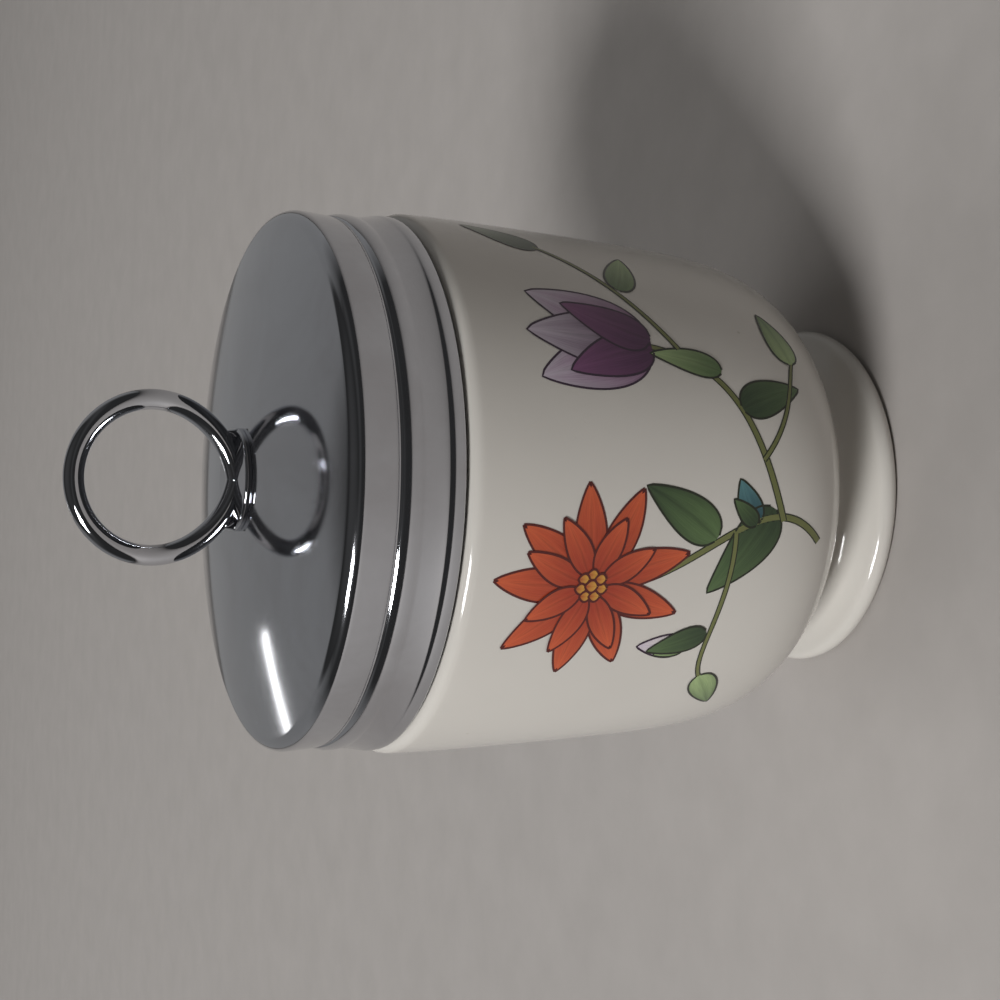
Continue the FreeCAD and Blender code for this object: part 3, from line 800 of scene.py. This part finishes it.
BASE_RADIUS = 6.0
BASE_ROUND = 0.3
WASHER_THICK = 0.8
WASHER_RADIUS = 4.5
HEAD_RADIUS = 2.6
HEAD_THICK = 0.65
EDGE_SOFT = 0.1
BRAZE_REACH = (2.4, 5.95)
BRAZE_GRID = (18, 25)
head_top = lid_flat - SHEET - WASHER_THICK
base_section = chain(
    bezier([(0, head_top - HEAD_THICK), (HEAD_RADIUS, head_top - HEAD_THICK), (HEAD_RADIUS, head_top)], 12),
    straight((HEAD_RADIUS, head_top), (TENON_RADIUS, head_top), 3),
    straight((TENON_RADIUS, head_top), (TENON_RADIUS, lid_flat), 4),
    straight((TENON_RADIUS, lid_flat), (BASE_RADIUS - EDGE_SOFT, lid_flat), 6),
    arc((BASE_RADIUS - EDGE_SOFT, lid_flat + EDGE_SOFT), EDGE_SOFT, -90, 0, 4),
    straight((BASE_RADIUS, lid_flat + EDGE_SOFT), (BASE_RADIUS, base_top - BASE_ROUND), 4),
    arc((BASE_RADIUS - BASE_ROUND, base_top - BASE_ROUND), BASE_ROUND, 0, 90, 10),
    straight((BASE_RADIUS - BASE_ROUND, base_top), (0, base_top), 8),
)
ring_seat = turned("ring_seat", base_section, 128)
seat_chrome = plated("chrome_seat")
ring_seat.data.materials.append(seat_chrome)
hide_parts("ring_base")
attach(ring_seat, "lid")

# The braze: x along the wire, turn across it. Its crest follows the wire's underside and falls to
# both sides as 1 - (1 - rise)^2.6, and to nothing at its outer end.
for side, word in ((1, "right"), (-1, "left")):
    reach = np.linspace(*BRAZE_REACH, BRAZE_GRID[0])
    x, turn = np.meshgrid(reach, np.linspace(-1, 1, BRAZE_GRID[1]), indexing="ij")
    wire_foot = lower_centre[1] - np.sqrt((LOWER_BEND + WIRE) ** 2 - (x - lower_centre[0]) ** 2)
    crest = np.maximum(wire_foot + 0.3, base_top + 0.05)
    rise = 1 - np.abs(turn)
    fall = np.sqrt(np.clip((BRAZE_REACH[1] - x) / 0.5, 0, 1))
    z = base_top - 0.1 + (crest - base_top + 0.1) * (1 - (1 - rise) ** 2.6) * fall
    y = np.sign(turn) * (0.75 * np.abs(turn) + 0.85 * np.abs(turn) ** 4)
    points = np.stack([side * x, y, z], -1).reshape(-1, 3)
    quads = grid_faces(np.arange(x.size).reshape(x.shape))
    if side < 0:
        quads = quads[:, ::-1]
    braze = mesh_piece("braze_" + word, points, quads.tolist())
    braze.data.materials.append(seat_chrome)
    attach(braze, "lid")

# Washer under the dome
# A plain punched steel washer inside the dome. The tenon of the ring's base is peened over it, so
# that the pull of the ring spreads over the thin shell. It stays bright but unpolished.

WASHER_BORE = 1.7
BORE_EDGE = 0.08
washer_top = head_top + WASHER_THICK
bore_edge = WASHER_BORE + BORE_EDGE
rim_centre = WASHER_RADIUS - EDGE_SOFT
washer_section = chain(
    straight((WASHER_BORE, head_top + BORE_EDGE), (bore_edge, head_top), 2),
    straight((bore_edge, head_top), (rim_centre, head_top), 4),
    arc((rim_centre, head_top + EDGE_SOFT), EDGE_SOFT, -90, 0, 4),
    arc((rim_centre, washer_top - EDGE_SOFT), EDGE_SOFT, 0, 90, 4),
    straight((rim_centre, washer_top), (bore_edge, washer_top), 4),
    straight((WASHER_BORE, washer_top - BORE_EDGE), (WASHER_BORE, head_top + EDGE_SOFT), 2),
)
washer = turned("dome_washer", washer_section, 96, closed=True)
steel, tree, shader = material("washer_steel")
place = tree.nodes.new("ShaderNodeTexCoord").outputs["Object"]
turning = node(tree, "ShaderNodeTexWave", Scale=900.0, Distortion=0.6, Detail=2.0)
turning.wave_type = "RINGS"
turning.rings_direction = "Z"
tree.links.new(place, turning.inputs["Vector"])
DULL_STEEL = srgb(168, 168, 170)
BRIGHT_STEEL = srgb(190, 190, 192)
steel_colour = ramp(tree, turning.outputs["Fac"], (0.0, DULL_STEEL), (1.0, BRIGHT_STEEL))
tree.links.new(steel_colour, shader.inputs["Base Color"])
steel_rough = ramp(tree, turning.outputs["Fac"], (0.0, grey(0.28)), (1.0, grey(0.42)))
tree.links.new(steel_rough, shader.inputs["Roughness"])
shader.inputs["Metallic"].default_value = 1.0
washer.data.materials.append(steel)
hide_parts("rivet_washer")
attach(washer, "lid_carrier")

# Studio
# A pale paper floor, a soft key lamp on the left, a strip lamp behind that draws a streak on the
# dome, two broad fill lamps, and a dim room that is lighter behind the object than in front.

FLOOR_REACH = 3
DARK_PAPER = srgb(168, 163, 159)
PALE_PAPER = srgb(174, 169, 165)
floor_mesh = bpy.data.meshes.new("floor")
floor_corners = [(x * FLOOR_REACH, y * FLOOR_REACH, 0) for x, y in ((-1, -1), (1, -1), (1, 1), (-1, 1))]
floor_mesh.from_pydata(floor_corners, [], [(0, 1, 2, 3)])
floor = bpy.data.objects.new("floor", floor_mesh)
bpy.context.scene.collection.objects.link(floor)
paper, tree, shader = material("floor_paper")
place = tree.nodes.new("ShaderNodeTexCoord").outputs["Object"]
fibre = node(tree, "ShaderNodeTexNoise", Scale=90.0, Detail=5.0, Roughness=0.6)
tree.links.new(place, fibre.inputs["Vector"])
paper_colour = ramp(tree, fibre.outputs["Fac"], (0.3, DARK_PAPER), (0.7, PALE_PAPER))
tree.links.new(paper_colour, shader.inputs["Base Color"])
shader.inputs["Roughness"].default_value = 0.7
floor.data.materials.append(paper)


def lamp(name, azimuth, elevation, distance, width, height, power, target):
    """A soft rectangular lamp. Azimuth 0 is towards the camera and positive is to its left."""
    data = bpy.data.lights.new(name, "AREA")
    data.shape = "RECTANGLE"
    data.size = width
    data.size_y = height
    data.energy = power
    made = bpy.data.objects.new(name, data)
    bpy.context.scene.collection.objects.link(made)
    a = math.radians(azimuth)
    e = math.radians(elevation)
    back = Vector((-math.sin(a) * math.cos(e), -math.cos(a) * math.cos(e), math.sin(e)))
    made.location = Vector(target) + back * distance
    made.rotation_mode = "QUATERNION"
    made.rotation_quaternion = (-back).to_track_quat("-Z", "Y")
    return made


MIDDLE = (0, 0, 0.05)
DOME_LEFT = (-0.02, 0, 0.07)
BROAD = {"distance": 1.3, "width": 1.0, "height": 0.8, "target": MIDDLE}
lamp("key_lamp", azimuth=47, elevation=42, distance=1.8, width=0.62, height=0.43, power=27.0, target=MIDDLE)
lamp(
    "strip_lamp", azimuth=166, elevation=22, distance=0.9, width=0.12, height=0.026, power=0.045,
    target=DOME_LEFT,
)
fill_lamp = lamp("fill_lamp", azimuth=-60, elevation=35, power=0.5, **BROAD)
top_lamp = lamp("top_lamp", azimuth=152, elevation=50, power=4.4, **BROAD)
fill_lamp.visible_glossy = False
top_lamp.visible_glossy = False

world = bpy.data.worlds.new("room")
world.use_nodes = True
bpy.context.scene.world = world
tree = world.node_tree
direction = tree.nodes.new("ShaderNodeTexCoord").outputs["Generated"]
compass = tree.nodes.new("ShaderNodeSeparateXYZ")
tree.links.new(direction, compass.inputs["Vector"])
back_levels = [(0.0, 0.24), (0.64, 0.21), (0.72, 0.03), (0.86, 0.03), (1.0, 0.06)]
front_levels = [(0.0, 0.03), (0.32, 0.03), (0.52, 0.06), (0.72, 0.03), (1.0, 0.06)]
back_level = ramp(tree, compass.outputs["Z"], *((up, grey(level)) for up, level in back_levels))
behind = node(tree, "ShaderNodeMapRange")
behind.inputs["From Min"].default_value = 0.0
behind.inputs["From Max"].default_value = 0.5
tree.links.new(compass.outputs["Y"], behind.inputs["Value"])
room = node(tree, "ShaderNodeMix")
room.data_type = "RGBA"
front_level = ramp(tree, compass.outputs["Z"], *((up, grey(level)) for up, level in front_levels))
tree.links.new(front_level, room.inputs["A"])
tree.links.new(behind.outputs["Result"], room.inputs["Factor"])
tree.links.new(back_level, room.inputs["B"])
tree.links.new(room.outputs["Result"], tree.nodes["Background"].inputs["Color"])
tree.nodes["Background"].inputs["Strength"].default_value = 1.0

# Camera
# At the photograph's viewpoint: close, from the front and above, and turned on its side so that
# the cup's top points to the left of the picture.

CAMERA_PLACE = (0.0, -0.2201, 0.1368)
LOOK_DOWN = 0.4004
LOOK_ASIDE = -0.0073
TILT = 0.0246
FOCAL_SHARE = 1.9487
SENSOR = 36.0
camera_data = bpy.data.cameras.new("camera")
camera_data.sensor_width = SENSOR
camera_data.lens = SENSOR * FOCAL_SHARE
camera = bpy.data.objects.new("camera", camera_data)
bpy.context.scene.collection.objects.link(camera)
forward = Vector((
    math.sin(LOOK_ASIDE) * math.cos(LOOK_DOWN),
    math.cos(LOOK_ASIDE) * math.cos(LOOK_DOWN),
    -math.sin(LOOK_DOWN),
))
level_right = forward.cross(Vector((0, 0, 1))).normalized()
level_up = level_right.cross(forward)
right = level_right * math.cos(TILT) + level_up * math.sin(TILT)
up = level_up * math.cos(TILT) - level_right * math.sin(TILT)
camera.matrix_world = Matrix((
    (-up.x, right.x, -forward.x, CAMERA_PLACE[0]),
    (-up.y, right.y, -forward.y, CAMERA_PLACE[1]),
    (-up.z, right.z, -forward.z, CAMERA_PLACE[2]),
    (0, 0, 0, 1),
))
bpy.context.scene.camera = camera
bpy.context.scene.view_settings.view_transform = "Standard"
